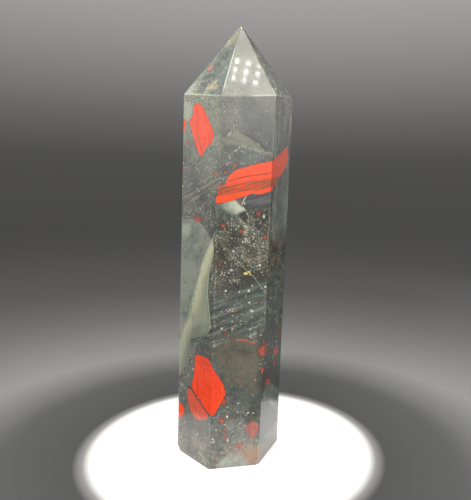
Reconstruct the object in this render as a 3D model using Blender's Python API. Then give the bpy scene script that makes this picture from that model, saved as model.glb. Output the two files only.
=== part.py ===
# A polished six-sided tower of dragon blood jasper, ground from one stone.
# Metres, +Z up the tower. The origin is the middle of its bounding box, on the surface it stands on.

import math
from typing import NamedTuple

import bmesh
import bpy
from mathutils import Vector

MM = 0.001

# The six facets of the point meet at this height, before the tip is rounded off.
POINT_HEIGHT = 200.5 * MM
POINT_OFFSET = (3.8 * MM, 0.2 * MM)  # the point stands a little to the right of the base's middle

EDGE_ROUNDING = 0.32 * MM  # polished edges of the column, the shoulders and the base
RIDGE_SHARE = 0.5  # the ridges of the point are crisper, by this share of the rounding
ROUNDING_STEPS = 2


class SideFace(NamedTuple):
    """One ground side of the column. A hand holds the stone to the wheel, so no two are quite alike."""

    azimuth: float  # degrees from +X, the way the face looks
    distance: float  # from the base's middle to the face, level with the base
    draft: float  # degrees that the face leans inwards as it rises


SIDE_FACES = (
    SideFace(223.5, 21.4 * MM, 1.2),  # front left
    SideFace(282.6, 21.5 * MM, -0.2),  # front
    SideFace(339.7, 20.7 * MM, -1.5),  # right
    SideFace(42.5, 21.7 * MM, -0.4),  # back right
    SideFace(102.4, 21.4 * MM, 0.2),  # back
    SideFace(161.9, 21.5 * MM, 0.6),  # back left
)

# Height of each shoulder corner, where a side edge meets a ridge of the point. Corner 0 lies
# between the last side face and the first, and the rest follow anticlockwise.
SHOULDER_HEIGHTS = (168.9 * MM, 165.1 * MM, 166.8 * MM, 169.1 * MM, 167.6 * MM, 167.5 * MM)


class CornerChip(NamedTuple):
    """A flat break across one base corner, given by how far it runs along the corner's three edges."""

    corner: int
    up: float
    back: float  # along the base edge to the corner before
    on: float  # along the base edge to the corner after


CORNER_CHIPS = (
    CornerChip(0, 2.9 * MM, 2.0 * MM, 2.8 * MM),
    CornerChip(2, 1.1 * MM, 1.2 * MM, 1.4 * MM),
    CornerChip(4, 1.4 * MM, 1.8 * MM, 1.2 * MM),
)
CHIP_MERGE = 1e-7

JASPER_COLOUR = (0.085, 0.105, 0.088, 1.0)  # the dark green-grey ground
JASPER_ROUGHNESS = 0.16
SHARP_ABOVE = 40.0  # degrees


def clear_scene():
    for thing in list(bpy.data.objects):
        bpy.data.objects.remove(thing)


def column_corner(index, height):
    """The corner where side face index - 1 meets side face index, at a height."""
    before = SIDE_FACES[index - 1]
    after = SIDE_FACES[index]
    a = math.radians(before.azimuth)
    b = math.radians(after.azimuth)
    reach_a = before.distance - height * math.tan(math.radians(before.draft))
    reach_b = after.distance - height * math.tan(math.radians(after.draft))
    spread = math.sin(b - a)
    x = (reach_a * math.sin(b) - reach_b * math.sin(a)) / spread
    y = (reach_b * math.cos(a) - reach_a * math.cos(b)) / spread
    return Vector((x, y, height))


def make_sharp_tower(bm):
    """The column and its point with sharp edges. Returns the ridges of the point."""
    sides = len(SIDE_FACES)
    base = [bm.verts.new(column_corner(i, 0.0)) for i in range(sides)]
    shoulder = [bm.verts.new(column_corner(i, SHOULDER_HEIGHTS[i])) for i in range(sides)]
    point = bm.verts.new((*POINT_OFFSET, POINT_HEIGHT))
    for i in range(sides):
        j = (i + 1) % sides
        bm.faces.new((base[i], base[j], shoulder[j], shoulder[i]))
        bm.faces.new((shoulder[i], shoulder[j], point))
    bm.faces.new(reversed(base))
    bm.normal_update()
    return list(point.link_edges)


def break_corner(bm, chip):
    """Cuts one base corner off with a plane and closes the cut."""
    sides = len(SIDE_FACES)
    corner = column_corner(chip.corner, 0.0)
    above = column_corner(chip.corner, SHOULDER_HEIGHTS[chip.corner])
    before = column_corner((chip.corner - 1) % sides, 0.0)
    after = column_corner((chip.corner + 1) % sides, 0.0)
    up = corner + (above - corner).normalized() * chip.up
    back = corner + (before - corner).normalized() * chip.back
    on = corner + (after - corner).normalized() * chip.on
    outward = (back - up).cross(on - up).normalized()
    if outward.dot(corner - up) < 0:
        outward.negate()
    geometry = bm.verts[:] + bm.edges[:] + bm.faces[:]
    cut = bmesh.ops.bisect_plane(
        bm, geom=geometry, dist=CHIP_MERGE, plane_co=up, plane_no=outward, clear_outer=True
    )
    rim = [item for item in cut["geom_cut"] if isinstance(item, bmesh.types.BMEdge)]
    bmesh.ops.edgeloop_fill(bm, edges=rim)


def stand_on_origin(bm):
    """Moves the stone so that the middle of its bounding box is over the origin and its base on z = 0."""
    low = Vector(min(v.co[i] for v in bm.verts) for i in range(3))
    high = Vector(max(v.co[i] for v in bm.verts) for i in range(3))
    middle = (low + high) / 2
    bmesh.ops.translate(bm, verts=bm.verts[:], vec=(-middle.x, -middle.y, -low.z))


def jasper_material():
    material = bpy.data.materials.new("polished_jasper")
    material.use_nodes = True
    shader = material.node_tree.nodes["Principled BSDF"]
    shader.inputs["Base Color"].default_value = JASPER_COLOUR
    shader.inputs["Roughness"].default_value = JASPER_ROUGHNESS
    shader.inputs["Metallic"].default_value = 0.0
    material.diffuse_color = JASPER_COLOUR
    return material


def make_tower():
    bm = bmesh.new()
    ridges = make_sharp_tower(bm)
    weight = bm.edges.layers.float.new("bevel_weight_edge")
    for edge in bm.edges:
        edge[weight] = RIDGE_SHARE if edge in ridges else 1.0
    for chip in CORNER_CHIPS:
        break_corner(bm, chip)
    for edge in bm.edges:
        if edge[weight] == 0.0:
            edge[weight] = RIDGE_SHARE  # the broken edges of a chip stay crisp
    bmesh.ops.recalc_face_normals(bm, faces=bm.faces[:])
    stand_on_origin(bm)

    mesh = bpy.data.meshes.new("jasper_tower")
    bm.to_mesh(mesh)
    bm.free()
    mesh.shade_smooth()
    mesh.set_sharp_from_angle(angle=math.radians(SHARP_ABOVE))
    tower = bpy.data.objects.new("jasper_tower", mesh)
    mesh.materials.append(jasper_material())
    bpy.context.scene.collection.objects.link(tower)

    rounding = tower.modifiers.new("edge rounding", "BEVEL")
    rounding.width = EDGE_ROUNDING
    rounding.segments = ROUNDING_STEPS
    rounding.limit_method = "WEIGHT"
    rounding.harden_normals = True


clear_scene()
make_tower()
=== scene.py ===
# Dragon blood jasper tower: the polished stone with its markings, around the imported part.

import math

import bpy
from mathutils import Euler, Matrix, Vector


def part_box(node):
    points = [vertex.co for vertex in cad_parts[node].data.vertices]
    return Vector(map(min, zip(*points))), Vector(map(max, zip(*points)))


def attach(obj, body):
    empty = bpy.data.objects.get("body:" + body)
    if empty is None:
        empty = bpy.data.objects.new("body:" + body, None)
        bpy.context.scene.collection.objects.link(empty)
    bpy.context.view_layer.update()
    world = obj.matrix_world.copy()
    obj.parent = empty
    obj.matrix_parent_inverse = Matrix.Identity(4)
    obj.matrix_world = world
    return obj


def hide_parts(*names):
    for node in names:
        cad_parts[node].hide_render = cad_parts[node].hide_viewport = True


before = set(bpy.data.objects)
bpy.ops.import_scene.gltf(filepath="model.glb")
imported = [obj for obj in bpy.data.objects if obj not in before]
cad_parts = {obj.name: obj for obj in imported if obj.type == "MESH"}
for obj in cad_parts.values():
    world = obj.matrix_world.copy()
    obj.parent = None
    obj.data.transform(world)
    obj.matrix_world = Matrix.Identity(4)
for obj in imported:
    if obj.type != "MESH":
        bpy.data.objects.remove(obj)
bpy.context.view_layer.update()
print("frame loaded")


# the stone's shape

towerShape = {
    "node": "jasper_tower",
    "mergeWithin": 0.000002,
    "flatWithin": 0.4,  # degrees, to melt the part's triangles back into whole faces
    "layerHeight": 0.0105,
    "subdivisions": 3,
    "waveSize": 0.019,  # a face ground by hand is never quite flat
    "waveDepth": 0.00013,
    "wholeFace": 0.0001,  # m2: facets are larger than this, and rounded edges smaller
    "edgeTurn": 5.0,  # degrees away from every facet, to count as an edge
    "flatFoot": 0.0015,  # the base stays flat below this height
    "wavyFrom": 0.006,
    "wavyTo": 0.158,
    "truerFrom": 0.167,
    "truer": 0.9,  # the point is ground truer, by this share
    "sharpAbove": 35.0,  # degrees
    "nickReach": 0.0012,  # how far up or down a nick looks for the edge
    "nickSkin": 0.035,  # faces this near to a nick's ellipsoid, as a share of its size, are broken ones
    # small breaks: azimuth and height on the stone, the three half sizes, depth, turn in degrees
    "nicks": [
        (11.0, 0.1708, (0.0021, 0.0021, 0.0027), 0.00075, 20),
        (253.0, 0.1275, (0.0009, 0.0011, 0.0021), 0.00028, 10),
        (253.0, 0.0610, (0.0008, 0.0010, 0.0015), 0.00025, -25),
        (311.0, 0.0905, (0.0010, 0.0009, 0.0019), 0.00028, 30),
        (311.0, 0.0225, (0.0009, 0.0009, 0.0013), 0.00030, 0),
        (193.0, 0.0930, (0.0010, 0.0010, 0.0024), 0.00030, 5),
        (72.0, 0.1480, (0.0012, 0.0010, 0.0022), 0.00040, -15),
        (72.0, 0.0380, (0.0010, 0.0011, 0.0016), 0.00032, 35),
        (132.0, 0.1120, (0.0010, 0.0012, 0.0020), 0.00030, -30),
        (11.0, 0.0560, (0.0009, 0.0010, 0.0017), 0.00028, 15),
        (132.0, 0.1660, (0.0014, 0.0013, 0.0012), 0.00045, 40),
        (193.0, 0.1800, (0.0008, 0.0008, 0.0014), 0.00024, 0),
    ],
}


def selectOnly(thing):
    bpy.ops.object.select_all(action="DESELECT")
    thing.select_set(True)
    bpy.context.view_layer.objects.active = thing


def applyAll(thing):
    selectOnly(thing)
    for modifier in list(thing.modifiers):
        bpy.ops.object.modifier_apply(modifier=modifier.name)


def edgePlace(stone, shape, azimuth, height):
    # the mesh point that stands out furthest that way, near that height
    way = Vector((math.cos(math.radians(azimuth)), math.sin(math.radians(azimuth)), 0))
    near = [v.co for v in stone.data.vertices if abs(v.co.z - height) < shape["nickReach"]]
    return max(near, key=way.dot), way


def meltAndLayer(stone, shape):
    # whole flat faces first, then level cuts all the way up, so that a simple subdivision gives even cells
    selectOnly(stone)
    bpy.ops.object.mode_set(mode="EDIT")
    bpy.ops.mesh.select_all(action="SELECT")
    bpy.ops.mesh.customdata_custom_splitnormals_clear()
    bpy.ops.mesh.remove_doubles(threshold=shape["mergeWithin"])
    bpy.ops.mesh.dissolve_limited(angle_limit=math.radians(shape["flatWithin"]))
    bpy.ops.object.mode_set(mode="OBJECT")
    wide = [face for face in stone.data.polygons if face.area > shape["wholeFace"]]
    facets = [(face.normal.copy(), face.normal.dot(face.center)) for face in wide]
    bpy.ops.object.mode_set(mode="EDIT")
    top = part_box(shape["node"])[1].z
    cuts = int(top / shape["layerHeight"])
    for i in range(1, cuts + 1):
        bpy.ops.mesh.select_all(action="SELECT")
        bpy.ops.mesh.bisect(plane_co=(0, 0, top * i / (cuts + 1)), plane_no=(0, 0, 1))
    bpy.ops.object.mode_set(mode="OBJECT")
    cells = stone.modifiers.new("cells", "SUBSURF")
    cells.subdivision_type = "SIMPLE"
    cells.levels = shape["subdivisions"]
    cells.render_levels = shape["subdivisions"]
    applyAll(stone)
    return facets


def between(value, start, end):
    return min(max((value - start) / (end - start), 0.0), 1.0)


def makeWavy(stone, shape):
    group = stone.vertex_groups.new(name="wavy")
    for v in stone.data.vertices:
        rise = between(v.co.z, shape["flatFoot"], shape["wavyFrom"])
        truer = between(v.co.z, shape["wavyTo"], shape["truerFrom"]) * shape["truer"]
        group.add([v.index], rise * (1 - truer), "REPLACE")
    clouds = bpy.data.textures.new("polishing waves", "CLOUDS")
    clouds.noise_scale = shape["waveSize"]
    clouds.noise_depth = 0
    waves = stone.modifiers.new("waves", "DISPLACE")
    waves.texture = clouds
    waves.texture_coords = "LOCAL"
    waves.mid_level = 0.5
    waves.strength = shape["waveDepth"]
    waves.vertex_group = "wavy"
    applyAll(stone)
    stone.vertex_groups.clear()


def cutNicks(stone, shape):
    # one ellipsoid for each nick, joined, then a single cut
    places = []
    for azimuth, height, size, depth, turn in shape["nicks"]:
        edge, way = edgePlace(stone, shape, azimuth, height)
        middle = edge + way * (max(size[:2]) - depth)
        tilt = Euler((math.radians(turn), math.radians(turn / 3), math.radians(azimuth)))
        bpy.ops.object.select_all(action="DESELECT")
        bpy.ops.mesh.primitive_ico_sphere_add(subdivisions=3, radius=1.0, location=middle, rotation=tilt)
        cutter = bpy.context.object
        cutter.scale = size
        bpy.context.view_layer.update()
        places.append((cutter.matrix_world.inverted(), cutter))
    bpy.ops.object.select_all(action="DESELECT")
    for _, cutter in places:
        cutter.select_set(True)
    bpy.context.view_layer.objects.active = places[0][1]
    bpy.ops.object.transform_apply(location=True, rotation=True, scale=True)
    bpy.ops.object.join()
    cutter = bpy.context.object
    nick = stone.modifiers.new("nicks", "BOOLEAN")
    nick.operation = "DIFFERENCE"
    nick.solver = "MANIFOLD"  # both are closed, and the exact solver fails on the shoulder's fine faces
    nick.object = cutter
    applyAll(stone)
    bpy.data.objects.remove(cutter)
    broken = stone.data.attributes.new("broken", "FLOAT", "FACE")
    for face in stone.data.polygons:
        away = min(abs((inverse @ face.center).length - 1.0) for inverse, _ in places)
        broken.data[face.index].value = float(away < shape["nickSkin"])


def markEdges(stone, shape, facets):
    limit = math.cos(math.radians(shape["edgeTurn"]))
    edge = stone.data.attributes.new("edge", "FLOAT", "FACE")
    for face in stone.data.polygons:
        edge.data[face.index].value = float(max(face.normal.dot(normal) for normal, _ in facets) < limit)


def finishShading(stone, shape):
    selectOnly(stone)
    bpy.ops.object.shade_smooth_by_angle(angle=math.radians(shape["sharpAbove"]))
    weighted = stone.modifiers.new("weighted normals", "WEIGHTED_NORMAL")
    weighted.keep_sharp = True
    weighted.weight = 100
    applyAll(stone)


def makeTower(shape):
    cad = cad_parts[shape["node"]]
    stone = bpy.data.objects.new("jasperTower", cad.data.copy())
    bpy.context.scene.collection.objects.link(stone)
    facets = meltAndLayer(stone, shape)
    makeWavy(stone, shape)
    cutNicks(stone, shape)
    markEdges(stone, shape, facets)
    finishShading(stone, shape)
    print("tower shaped,", len(stone.data.polygons), "faces")
    return stone, facets


# shader maths

def linear(level):
    share = level / 255
    return share / 12.92 if share <= 0.04045 else ((share + 0.055) / 1.055) ** 2.4


def paint(red, green, blue):
    return (linear(red), linear(green), linear(blue), 1.0)


class Wire:
    # a socket that can be used in arithmetic

    def __init__(self, bench, socket):
        self.bench = bench
        self.socket = socket
        self.isVector = socket.type in ("VECTOR", "RGBA")

    def other(self, output):
        return Wire(self.bench, self.socket.node.outputs[output])

    def reckon(self, operation, first, second):
        if not self.isVector:
            return self.bench.node("Math", {"operation": operation}, {0: first, 1: second})
        single = isinstance(second, (int, float)) or isinstance(second, Wire) and not second.isVector
        if operation == "MULTIPLY" and single:
            return self.bench.node("VectorMath", {"operation": "SCALE"}, {0: first, 3: second})
        return self.bench.node("VectorMath", {"operation": operation}, {0: first, 1: second})

    def __add__(self, more):
        return self.reckon("ADD", self, more)

    def __radd__(self, more):
        return self.reckon("ADD", self, more)

    def __sub__(self, less):
        return self.reckon("SUBTRACT", self, less)

    def __rsub__(self, whole):
        return self.reckon("SUBTRACT", whole, self)

    def __mul__(self, times):
        return self.reckon("MULTIPLY", self, times)

    def __rmul__(self, times):
        return self.reckon("MULTIPLY", self, times)

    def dot(self, way):
        return self.bench.node("VectorMath", {"operation": "DOT_PRODUCT"}, {0: self, 1: way}, 1)

    def length(self):
        return self.bench.node("VectorMath", {"operation": "LENGTH"}, {0: self}, 1)

    def size(self):
        return self.bench.node("Math", {"operation": "ABSOLUTE"}, {0: self})

    def least(self, limit):
        return self.reckon("MINIMUM", self, limit)

    def most(self, limit):
        return self.reckon("MAXIMUM", self, limit)

    def timesPlus(self, times, plus):
        kind = "VectorMath" if self.isVector else "Math"
        return self.bench.node(kind, {"operation": "MULTIPLY_ADD"}, {0: self, 1: times, 2: plus})

    def spread(self, start, end, low=0.0, high=1.0):
        # start gives low, end gives high, held beyond both; a smooth step holds them without a clamp,
        # which Cycles would work out too early and keep for too long
        settings = {"interpolation_type": "SMOOTHSTEP", "clamp": False}
        return self.bench.node("MapRange", settings, {0: self, 1: start, 2: end, 3: low, 4: high})


class NodeBench:
    def __init__(self, tree):
        self.tree = tree

    def node(self, kind, settings, inputs, output=0):
        made = self.tree.nodes.new("ShaderNode" + kind)
        for name, value in settings.items():
            if name == "stops":
                self.setStops(made.color_ramp.elements, value)
            elif name == "curve":
                self.setCurve(made.mapping, value)
            else:
                setattr(made, name, value)
        for name, value in inputs.items():
            if isinstance(value, Wire):
                self.tree.links.new(value.socket, made.inputs[name])
            else:
                made.inputs[name].default_value = value
        return Wire(self, made.outputs[output])

    def setStops(self, elements, stops):
        while len(elements) < len(stops):
            elements.new(1.0)
        for element, (place, colour) in zip(elements, stops):
            element.position = place
            element.color = colour

    def setCurve(self, mapping, points):
        curve = mapping.curves[0]
        while len(curve.points) < len(points):
            curve.points.new(0.5, 0.5)
        for point, place in zip(curve.points, points):
            point.location = place
            point.handle_type = "VECTOR"
        mapping.update()

    def blend(self, share, under, over, how="MIX"):
        settings = {"data_type": "RGBA", "blend_type": how}
        return self.node("Mix", settings, {0: share, 6: under, 7: over}, 2)

    def noise(self, place, scale, detail, roughness, output="Fac"):
        inputs = {"Vector": place, "Scale": scale, "Detail": detail, "Roughness": roughness}
        return self.node("TexNoise", {}, inputs, output)

    def parts(self, colour):
        return self.node("SeparateColor", {}, {0: colour})

    def shifts(self, part):
        # a colour's three parts as a vector around 0
        whole = self.node("CombineXYZ", {}, {0: part, 1: part.other(1), 2: part.other(2)})
        return whole - (0.5, 0.5, 0.5)

    def cells(self, place, scale, output="Distance"):
        return self.node("TexVoronoi", {"feature": "F1"}, {"Vector": place, "Scale": scale}, output)

    def ramp(self, stops, position):
        return self.node("ValToRGB", {"stops": stops}, {0: position})


# the markings

# Each face of the column has its azimuth in degrees. A place on it is given in mm: how far across
# it, to the right as seen from outside, and how high.
faceAzimuths = {
    "frontLeft": 223.5,
    "frontEdge": 253.0,
    "front": 282.6,
    "right": 339.7,
    "backRight": 42.5,
    "back": 102.4,
    "backLeft": 161.9,
}

# three facets of the point, by the azimuth and elevation that they look at
pointWays = {"pointLeft": (228, 32), "pointFront": (280, 32), "pointRight": (336, 33)}


def towards(azimuth, elevation):
    a, e = math.radians(azimuth), math.radians(elevation)
    return Vector((math.cos(a) * math.cos(e), math.sin(a) * math.cos(e), math.sin(e)))


# A marking is drawn by its two sides on its face. An upright one has points of (height, across) for
# its left and its right side, a level one points of (across, height) for its lower and upper side.
markings = {
    "calm grey green": (
        "frontLeft", "upright",
        [(50, -16), (55, -19), (113, -19)],
        [(50, -16), (55.5, -14.5), (61, -10), (70.5, -6), (79.5, -2.5), (86.5, 0.5), (96, 4), (101, 8),
         (104, 9.5), (107, 7), (110, 3.5), (112.5, -1), (113.5, -5), (114.5, -10), (113, -16.5)],
    ),
    "olive above slab": (
        "front", "level",
        [(-9, 146.5), (-6, 145.4), (-0.5, 144.6), (4.2, 143.2), (8, 142), (12.5, 141.4), (14, 141.2)],
        [(-9, 148.5), (-5.6, 149.4), (-3.5, 151), (0, 150.2), (3, 148.2), (7.4, 145.2), (10.8, 142.9),
         (14, 141.5)],
    ),
    "pale upper left": (
        "frontLeft", "upright",
        [(156.5, -12), (158, -16), (165.5, -17)],
        [(156.5, -10.5), (158, -7.8), (162, -6.8), (165, -9), (165.5, -15.5)],
    ),
    "brown patch": (
        "front", "upright",
        [(38, 0), (40.4, -3.2), (43.5, -6.1), (48.3, -9.5), (52.5, -11.8), (56.5, -11.8), (59.2, -8.5),
         (61, -3)],
        [(38, 1), (40, 4.8), (43.2, 7.6), (48.5, 8.4), (53.8, 8), (57.9, 6.8), (59.3, 2.2), (61, -2)],
    ),
    "slate": (
        "front", "level",
        [(0.9, 121.5), (1.8, 120.2), (3.2, 118.8), (6, 118), (9.3, 118.3), (14, 118.6)],
        [(0.9, 122.3), (1.6, 123.8), (3.5, 125), (8.5, 125.2), (12.5, 126.2), (14, 126.5)],
    ),
    "grey under slab": (
        "front", "level",
        [(-11.5, 115.5), (-10, 113.8), (-7.5, 113), (-5, 113.4), (-1.5, 113.2), (-0.6, 114)],
        [(-11.5, 120), (-8, 120.8), (-4, 119), (-0.6, 114.8)],
    ),
    "pale under slab": (
        "front", "level",
        [(-10.7, 119.8), (-7.9, 117.6), (-5.8, 116.6), (-4, 115.9), (-2.2, 115.9), (0.2, 117),
         (1.4, 117.7)],
        [(-10.7, 120.4), (-8, 121.2), (-3.2, 122.4), (-1.9, 121.1), (-0.6, 119.9), (0.7, 119),
         (1.4, 118.1)],
    ),
    "dark by rim": (
        "front", "level",
        [(-1.9, 115.6), (-0.9, 113.8), (0.8, 112.8), (2.2, 113.3), (2.8, 114.4)],
        [(-1.9, 116), (0.3, 117), (1.8, 116.4), (2.8, 114.8)],
    ),
    "right low grey": (
        "right", "level",
        [(-10.3, 32), (-3, 27), (7, 20), (13.5, 18)],
        [(-10.3, 33), (-7, 36), (-4.2, 37), (1.5, 33), (13.5, 27)],
    ),
    "right grey": (
        "right", "level",
        [(-9.5, 112), (-6, 103.5), (1, 99.5), (9, 100.5), (13, 102)],
        [(-9.5, 120), (-6, 127), (0, 129.5), (7, 136), (13, 138)],
    ),
    "celadon blade": (
        "frontLeft", "upright",
        [(37, -15), (50, -19), (54.5, -15), (61, -10.5), (70.5, -6.5), (79.5, -3), (86.5, 0), (96, 3.5),
         (101, 7), (105.5, 9.6)],
        [(37, -13.5), (41, -10), (45, -7.6), (50.3, -6.2), (54, -5.8), (57.2, -4.9), (59.3, 0.5),
         (61.1, 5.7), (63.2, 8.9), (65.2, 10.2), (70, 9.6), (75.8, 8.4), (81, 7.5), (85.3, 7.6),
         (90, 8.3), (94, 9.5), (98, 10.7), (101.5, 11.2), (105.5, 9.9)],
    ),
    "celadon at foot": (
        "front", "level",
        [(-8.5, 3), (-8, 1), (-4.5, 0.5), (-3.2, 2.6)],
        [(-8.5, 4), (-6, 4.6), (-4.6, 4), (-3.2, 3.2)],
    ),
    "green at foot": (
        "front", "level",
        [(-10.5, -2), (6, -2)],
        [(-10.5, 2), (-8, 4.6), (-4, 6.2), (0.7, 5.6), (3, 4.8), (6, 0.5)],
    ),
    "tan at foot": (
        "front", "level",
        [(2, 4), (2.5, 2.5), (5.5, 0.5), (11, -2)],
        [(2, 7), (5, 9.5), (8, 8.6), (11, 7.5)],
    ),
    "upper red": (
        "frontLeft", "upright",
        [(140.8, 0.5), (142.5, -2), (149, -5.5), (153.5, -8), (156.6, -9.4), (158, -7.6), (160, -6.2),
         (162.4, -6.6), (163.6, -5)],
        [(140.8, 0.8), (144, 3.5), (146.5, 8), (149.5, 9.2), (152.5, 7.6), (157, 4.5), (160.5, 1.7),
         (163, -0.3), (163.8, -3)],
    ),
    "upper red splinter": (
        "frontLeft", "upright",
        [(151, -18), (158.5, -19)],
        [(151.3, -16), (152.5, -12.6), (155, -12), (157.5, -12.5), (158.3, -15)],
    ),
    "slab front": (
        "front", "level",
        [(-11.5, 121), (-11, 120.5), (-5.5, 121.5), (0, 123.5), (4.5, 125), (8, 124.8), (12.5, 126.5),
         (14, 127)],
        [(-11.5, 121.8), (-10.6, 126), (-10, 128), (-7.2, 128.5), (-6.5, 131.5), (-5.5, 133),
         (-3.5, 134.6), (-0.5, 135.7), (6.5, 137.6), (13, 139), (14, 139.3)],
    ),
    "diamond": (
        "frontEdge", "upright",
        [(25.8, -1.5), (30.2, -8), (34.2, -13.8), (36.6, -13.6), (41, -12.4), (45, -11.8),
         (49.4, -11.6), (50.6, -10.9), (51.2, -9.4)],
        [(25.8, 0.2), (29, 2), (34.7, 4.8), (36.8, 4.7), (39.5, 4), (43, 2.4), (47.3, -0.2),
         (49.2, -1.3), (50.5, -2.4), (51.2, -3.8)],
    ),
    "left half round": (
        "frontLeft", "upright",
        [(15.5, -17), (24.2, -17)],
        [(15.5, -15), (17, -11.7), (20, -9.2), (22.5, -9), (24, -12)],
    ),
    "slab right": (
        "right", "level",
        [(-12.5, 125.5), (-10, 126.8), (-4.5, 130.5), (6.5, 137), (9.6, 141)],
        [(-12.5, 138.2), (-11, 139), (5.5, 146), (7.2, 146.4), (8.6, 144.6), (9.6, 141.6)],
    ),
    "lower dull red": (
        "frontLeft", "upright",
        [(20.6, 0), (22, -3), (25, -5.4), (29.5, -6.6), (33.2, -6)],
        [(20.6, 2.5), (21.4, 4.5), (23.2, 9), (25.6, 9.6), (28.2, 5), (31, 0.5), (33.4, -4.3)],
    ),
    "faded red": (
        "front", "upright",
        [(13, 5.6), (15.7, 4.2), (18.5, 2.7), (20.2, 4), (21.9, 5.5)],
        [(13, 6), (14.3, 7.6), (16.8, 8.6), (19.5, 9), (20.8, 7.4), (21.9, 5.9)],
    ),
    "back slab": (
        "back", "level",
        [(-9.5, 95), (-8, 91.5), (-3, 90), (4, 92), (8, 96), (10, 101)],
        [(-9.5, 96), (-8.5, 100), (-2, 103.4), (3, 103.8), (5, 106.5), (8, 106), (10, 103)],
    ),
    "back shard": (
        "backLeft", "upright",
        [(127, 1), (133, -4), (139, -5.5), (144, -4.6), (150, -1)],
        [(127, 2), (132, 6), (138, 8), (143, 6), (147, 2.5), (150, 0)],
    ),
    "back foot red": (
        "back", "upright",
        [(17, -4), (24, -8.5), (32, -8), (38, -3)],
        [(17, -3), (21, 3), (29, 5), (34, 3), (38, -2)],
    ),
    "back right chip": (
        "backRight", "upright",
        [(62, -3), (67, -7), (73, -5), (75, -2)],
        [(62, -2), (65, 4), (70, 6), (74, 2), (75, -1)],
    ),
    "back blade": (
        "backRight", "upright",
        [(98, 4), (108, -1), (121, -5), (133, -9), (141, -9)],
        [(98, 5), (107, 6), (118, 4), (128, 1), (137, -3), (141, -7)],
    ),
    "back calm": (
        "back", "upright",
        [(46, 1), (52, -6), (64, -10), (76, -8), (84, 0)],
        [(46, 5), (54, 10), (66, 14), (78, 12), (84, 4)],
    ),
    "back left calm": (
        "backLeft", "upright",
        [(8, 0), (14, -8), (26, -10), (34, -4)],
        [(8, 3), (16, 7), (25, 6), (34, -1)],
    ),
}

# small rounded pieces: across, height, half width, half height
smallReds = {
    "frontLeft": [(-4.8, 180.4, 1.3, 1.3)],
    "front": [
        (-8.1, 111, 1.0, 0.8), (-0.2, 108.5, 0.8, 0.7), (10.2, 106.1, 0.8, 0.9), (7.1, 116.2, 0.7, 0.8),
        (-7.2, 31.9, 0.9, 1.2), (-8, 22.8, 0.9, 1.1), (-3.3, 24.2, 0.5, 0.4), (-9.9, 19.2, 0.4, 0.4),
        (-6.7, 18.6, 0.5, 0.7), (-6.4, 15.4, 0.3, 1.2), (11, 54.5, 2.0, 2.6), (10.5, 45.3, 1.1, 1.4),
        (-7.7, 133.7, 0.7, 0.8), (-3.5, 136.9, 0.7, 0.6), (-8.9, 127.3, 1.0, 0.7), (-7.1, 62.8, 0.5, 0.6),
        (-3.7, 61.6, 0.6, 0.6), (11, 58.6, 0.6, 0.8),
    ],
    "right": [
        (-11.8, 54.4, 1.8, 2.5), (-5.1, 37.4, 2.9, 1.7), (4.7, 49.4, 3.0, 2.1), (3.0, 44.0, 1.0, 1.2),
    ],
    "back": [(-6, 131, 2.1, 1.7), (3, 76, 1.4, 1.8), (8.5, 58, 1.1, 1.0), (6, 137, 1.0, 0.8)],
    "backRight": [(4, 46, 2.2, 1.8), (-6, 90, 1.2, 1.5), (6, 152, 1.5, 1.2), (-5, 26, 1.3, 1.1)],
    "backLeft": [(-4, 60, 2.4, 2.0), (5, 72, 1.2, 1.4), (0, 104, 1.5, 1.2), (6, 44, 1.0, 1.3)],
}
fadedReds = {
    "frontLeft": [
        (-1.4, 113, 3.3, 1.7), (-10, 147, 1.3, 1.2), (-11, 135, 2.6, 0.8), (10.7, 133.1, 1.8, 0.9),
    ],
    "front": [(0.2, 10, 1.9, 1.7), (4.6, 10.8, 0.9, 0.7), (-9.5, 95, 0.5, 1.3), (-9, 92.4, 0.5, 0.4)],
    "right": [(-2.4, 102.3, 2.3, 1.6), (9.8, 102.3, 1.8, 1.5), (9.5, 57, 2.0, 1.6)],
    "back": [(-3, 150, 1.7, 1.4), (7, 118, 1.2, 1.3)],
    "backRight": [(2, 112, 1.8, 1.3), (-3, 12, 2.0, 1.6)],
    "backLeft": [(-6, 88, 1.8, 1.5), (3, 18, 1.4, 1.4)],
}

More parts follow.
